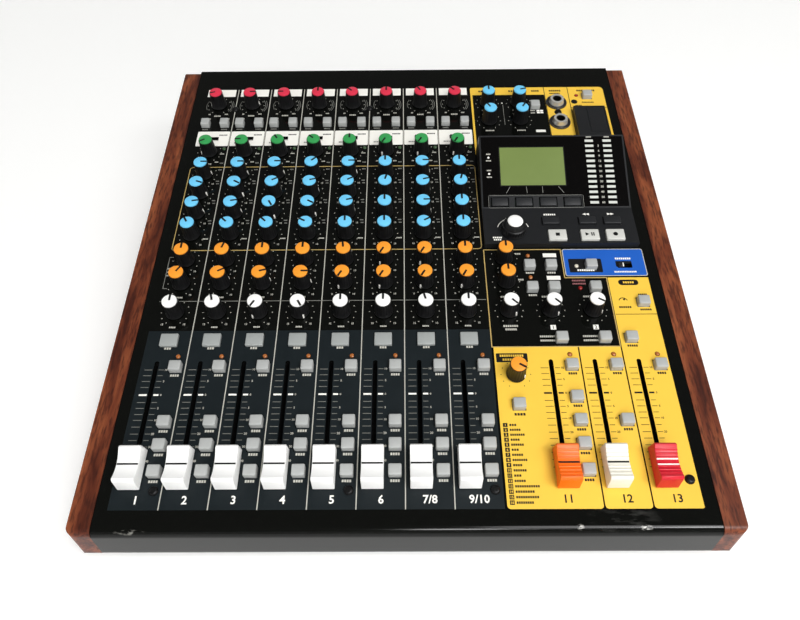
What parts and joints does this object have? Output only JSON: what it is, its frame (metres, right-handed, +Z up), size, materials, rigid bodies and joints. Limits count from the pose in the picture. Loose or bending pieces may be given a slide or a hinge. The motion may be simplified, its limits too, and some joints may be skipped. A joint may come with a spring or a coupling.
{
  "type": "recording mixer",
  "caption": "Sloping desktop audio mixer with wooden sides: rotary knobs, slide faders, push buttons, a tilted display, headphone jacks and rear sockets.",
  "frame": {"origin": "on the table under the middle of the mixer's box", "axes": "+X to the user's right, +Y towards the rear, +Z up"},
  "size_m": [0.343, 0.36, 0.0991],
  "materials": {
    "panel_black": "satin black powder coat, printed fields",
    "tray_steel": "satin black powder coat",
    "side_wood": "reddish brown satin lacquer",
    "housing_plastic": "fine texture",
    "window_acrylic": "glossy black window",
    "lcd_glass": "olive screen",
    "board": "solder mask",
    "control_metal": "plated",
    "switch_plastic": "moulded",
    "jack_chrome": "polished",
    "socket_plastic": "moulded",
    "lamp_plastic": "clear diffuser",
    "foot_rubber": "matt",
    "screw_steel": "black oxide",
    "cap_red": "satin",
    "cap_green": "satin",
    "cap_blue": "satin",
    "cap_orange": "satin",
    "cap_white": "satin",
    "button_grey": "satin"
  },
  "bodies": {
    "console": {"top_panel": "panel_black", "base_tray": "tray_steel", "rear_panel": "panel_black", "left_side_panel": "side_wood", "right_side_panel": "side_wood", "display_housing": "housing_plastic", "display_window": "window_acrylic", "lcd_screen": "lcd_glass", "circuit_boards": "board", "potentiometers": "control_metal", "fader_tracks": "control_metal", "switch_bodies": "switch_plastic", "jack_sockets": "jack_chrome", "rear_sockets": "socket_plastic", "indicator_lamps": "lamp_plastic", "feet": "foot_rubber", "screws": "screw_steel", "gain_knobs": "cap_red", "compressor_knobs": "cap_green", "equalizer_knobs": "cap_blue", "aux_knobs": "cap_orange", "pan_knobs": "cap_white"},
    "gain_knob_1": {"gain_knob_1": "cap_red"},
    "compressor_knob_1": {"compressor_knob_1": "cap_green"},
    "high_knob_1": {"high_knob_1": "cap_blue"},
    "mid_frequency_knob_1": {"mid_frequency_knob_1": "cap_blue"},
    "mid_knob_1": {"mid_knob_1": "cap_blue"},
    "low_knob_1": {"low_knob_1": "cap_blue"},
    "aux_1_knob_1": {"aux_1_knob_1": "cap_orange"},
    "aux_2_knob_1": {"aux_2_knob_1": "cap_orange"},
    "pan_knob_1": {"pan_knob_1": "cap_white"},
    "monitor_knob": {"monitor_knob": "cap_blue"},
    "phones_1_knob": {"phones_1_knob": "cap_blue"},
    "stereo_knob": {"stereo_knob": "cap_blue"},
    "phones_2_knob": {"phones_2_knob": "cap_blue"},
    "effects_aux_1_knob": {"effects_aux_1_knob": "cap_orange"},
    "effects_aux_2_knob": {"effects_aux_2_knob": "cap_orange"},
    "solo_level_knob": {"solo_level_knob": "cap_white"},
    "headphone_1_knob": {"headphone_1_knob": "cap_white"},
    "headphone_2_knob": {"headphone_2_knob": "cap_white"},
    "effects_program_knob": {"effects_program_knob": "cap_orange"},
    "encoder_knob": {"encoder_knob": "cap_white"},
    "channel_fader_1": {"channel_fader_1": "cap_white"},
    "channel_fader_2": {"channel_fader_2": "cap_white"},
    "channel_fader_3": {"channel_fader_3": "cap_white"},
    "channel_fader_4": {"channel_fader_4": "cap_white"},
    "channel_fader_5": {"channel_fader_5": "cap_white"},
    "channel_fader_6": {"channel_fader_6": "cap_white"},
    "channel_fader_7": {"channel_fader_7": "cap_white"},
    "channel_fader_8": {"channel_fader_8": "cap_white"},
    "effects_fader": {"effects_fader": "cap_orange"},
    "sub_fader": {"sub_fader": "cap_white"},
    "main_fader": {"main_fader": "cap_red"},
    "input_buttons": {"input_buttons": "button_grey"},
    "channel_buttons": {"channel_buttons": "button_grey"},
    "master_buttons": {"master_buttons": "button_grey"},
    "keys": {"keys": "button_grey"},
    "slide_switches": {"slide_switches": "switch_plastic"},
    "card_lid": {"card_lid": "housing_plastic"},
    "power_switch": {"power_switch": "socket_plastic"}
  },
  "joints": [
    {"name": "gain_knob_1_turn", "type": "hinge", "parent": "console", "child": "gain_knob_1", "pos_m": [-0.13942, 0.13588, 0.08513], "axis": [0, -0.1564, 0.9877], "range_deg": [-255, 45]},
    {"name": "compressor_knob_1_turn", "type": "hinge", "parent": "console", "child": "compressor_knob_1", "pos_m": [-0.13942, 0.0865, 0.07731], "axis": [0, -0.1564, 0.9877], "range_deg": [-270, 30]},
    {"name": "high_knob_1_turn", "type": "hinge", "parent": "console", "child": "high_knob_1", "pos_m": [-0.13942, 0.06477, 0.07386], "axis": [0, -0.1564, 0.9877], "range_deg": [-60, 240]},
    {"name": "mid_frequency_knob_1_turn", "type": "hinge", "parent": "console", "child": "mid_frequency_knob_1", "pos_m": [-0.13942, 0.04699, 0.07105], "axis": [0, -0.1564, 0.9877], "range_deg": [-39, 261]},
    {"name": "mid_knob_1_turn", "type": "hinge", "parent": "console", "child": "mid_knob_1", "pos_m": [-0.13942, 0.02921, 0.06823], "axis": [0, -0.1564, 0.9877], "range_deg": [-69, 231]},
    {"name": "low_knob_1_turn", "type": "hinge", "parent": "console", "child": "low_knob_1", "pos_m": [-0.13942, 0.01143, 0.06542], "axis": [0, -0.1564, 0.9877], "range_deg": [-180, 120]},
    {"name": "aux_1_knob_1_turn", "type": "hinge", "parent": "console", "child": "aux_1_knob_1", "pos_m": [-0.13942, -0.0098, 0.06205], "axis": [0, -0.1564, 0.9877], "range_deg": [-150, 150]},
    {"name": "aux_2_knob_1_turn", "type": "hinge", "parent": "console", "child": "aux_2_knob_1", "pos_m": [-0.13942, -0.02758, 0.05924], "axis": [0, -0.1564, 0.9877], "range_deg": [-120, 180]},
    {"name": "pan_knob_1_turn", "type": "hinge", "parent": "console", "child": "pan_knob_1", "pos_m": [-0.13942, -0.04882, 0.05587], "axis": [0, -0.1564, 0.9877], "range_deg": [-150, 150]},
    {"name": "monitor_knob_turn", "type": "hinge", "parent": "console", "child": "monitor_knob", "pos_m": [0.06338, 0.13588, 0.08513], "axis": [0, -0.1564, 0.9877], "range_deg": [-150, 150]},
    {"name": "phones_1_knob_turn", "type": "hinge", "parent": "console", "child": "phones_1_knob", "pos_m": [0.08637, 0.13588, 0.08513], "axis": [0, -0.1564, 0.9877], "range_deg": [-75, 225]},
    {"name": "stereo_knob_turn", "type": "hinge", "parent": "console", "child": "stereo_knob", "pos_m": [0.06338, 0.11711, 0.08216], "axis": [0, -0.1564, 0.9877], "range_deg": [-180, 120]},
    {"name": "phones_2_knob_turn", "type": "hinge", "parent": "console", "child": "phones_2_knob", "pos_m": [0.08637, 0.11711, 0.08216], "axis": [0, -0.1564, 0.9877], "range_deg": [-120, 180]},
    {"name": "effects_aux_1_knob_turn", "type": "hinge", "parent": "console", "child": "effects_aux_1_knob", "pos_m": [0.06338, -0.0098, 0.06205], "axis": [0, -0.1564, 0.9877], "range_deg": [-150, 150]},
    {"name": "effects_aux_2_knob_turn", "type": "hinge", "parent": "console", "child": "effects_aux_2_knob", "pos_m": [0.06338, -0.02758, 0.05924], "axis": [0, -0.1564, 0.9877], "range_deg": [-150, 150]},
    {"name": "solo_level_knob_turn", "type": "hinge", "parent": "console", "child": "solo_level_knob", "pos_m": [0.06338, -0.04882, 0.05587], "axis": [0, -0.1564, 0.9877], "range_deg": [-15, 285]},
    {"name": "headphone_1_knob_turn", "type": "hinge", "parent": "console", "child": "headphone_1_knob", "pos_m": [0.08872, -0.04882, 0.05587], "axis": [0, -0.1564, 0.9877], "range_deg": [-15, 285]},
    {"name": "headphone_2_knob_turn", "type": "hinge", "parent": "console", "child": "headphone_2_knob", "pos_m": [0.11407, -0.04882, 0.05587], "axis": [0, -0.1564, 0.9877], "range_deg": [-30, 270]},
    {"name": "effects_program_knob_turn", "type": "hinge", "parent": "console", "child": "effects_program_knob", "pos_m": [0.06338, -0.09178, 0.04907], "axis": [0, -0.1564, 0.9877], "range_deg": [-30, 270]},
    {"name": "encoder_knob_turn", "type": "hinge", "parent": "console", "child": "encoder_knob", "pos_m": [0.071, 0.00995, 0.06518], "axis": [0, -0.1564, 0.9877], "continuous": true},
    {"name": "channel_fader_1_slide", "type": "slide", "parent": "console", "child": "channel_fader_1", "axis": [0, 0.9877, 0.1564], "range_m": [0, 0.06]},
    {"name": "channel_fader_2_slide", "type": "slide", "parent": "console", "child": "channel_fader_2", "axis": [0, 0.9877, 0.1564], "range_m": [0, 0.06]},
    {"name": "channel_fader_3_slide", "type": "slide", "parent": "console", "child": "channel_fader_3", "axis": [0, 0.9877, 0.1564], "range_m": [0, 0.06]},
    {"name": "channel_fader_4_slide", "type": "slide", "parent": "console", "child": "channel_fader_4", "axis": [0, 0.9877, 0.1564], "range_m": [0, 0.06]},
    {"name": "channel_fader_5_slide", "type": "slide", "parent": "console", "child": "channel_fader_5", "axis": [0, 0.9877, 0.1564], "range_m": [0, 0.06]},
    {"name": "channel_fader_6_slide", "type": "slide", "parent": "console", "child": "channel_fader_6", "axis": [0, 0.9877, 0.1564], "range_m": [0, 0.06]},
    {"name": "channel_fader_7_slide", "type": "slide", "parent": "console", "child": "channel_fader_7", "axis": [0, 0.9877, 0.1564], "range_m": [0, 0.06]},
    {"name": "channel_fader_8_slide", "type": "slide", "parent": "console", "child": "channel_fader_8", "axis": [0, 0.9877, 0.1564], "range_m": [0, 0.06]},
    {"name": "effects_fader_slide", "type": "slide", "parent": "console", "child": "effects_fader", "axis": [0, 0.9877, 0.1564], "range_m": [0, 0.06]},
    {"name": "sub_fader_slide", "type": "slide", "parent": "console", "child": "sub_fader", "axis": [0, 0.9877, 0.1564], "range_m": [0, 0.06]},
    {"name": "main_fader_slide", "type": "slide", "parent": "console", "child": "main_fader", "axis": [0, 0.9877, 0.1564], "range_m": [0, 0.06]},
    {"name": "input_buttons_press", "type": "slide", "parent": "console", "child": "input_buttons", "axis": [0, 0.1564, -0.9877], "range_m": [0, 0.002], "stiffness_N_per_m": 800, "springref_m": -0.001},
    {"name": "channel_buttons_press", "type": "slide", "parent": "console", "child": "channel_buttons", "axis": [0, 0.1564, -0.9877], "range_m": [0, 0.002], "stiffness_N_per_m": 800, "springref_m": -0.001},
    {"name": "master_buttons_press", "type": "slide", "parent": "console", "child": "master_buttons", "axis": [0, 0.1564, -0.9877], "range_m": [0, 0.002], "stiffness_N_per_m": 800, "springref_m": -0.001},
    {"name": "keys_press", "type": "slide", "parent": "console", "child": "keys", "axis": [0, 0.1564, -0.9877], "range_m": [0, 0.001], "stiffness_N_per_m": 1200, "springref_m": -0.001},
    {"name": "slide_switches_slide", "type": "slide", "parent": "console", "child": "slide_switches", "axis": [1, 0, 0], "range_m": [0, 0.004]},
    {"name": "card_lid_open", "type": "hinge", "parent": "console", "child": "card_lid", "pos_m": [0.1418, 0.12418, 0.08743], "axis": [-1, 0, 0], "range_deg": [0, 100]},
    {"name": "power_switch_rock", "type": "hinge", "parent": "console", "child": "power_switch", "pos_m": [0.11242, 0.17238, 0.03], "axis": [-1, 0, 0], "range_deg": [0, 16]}
  ]
}
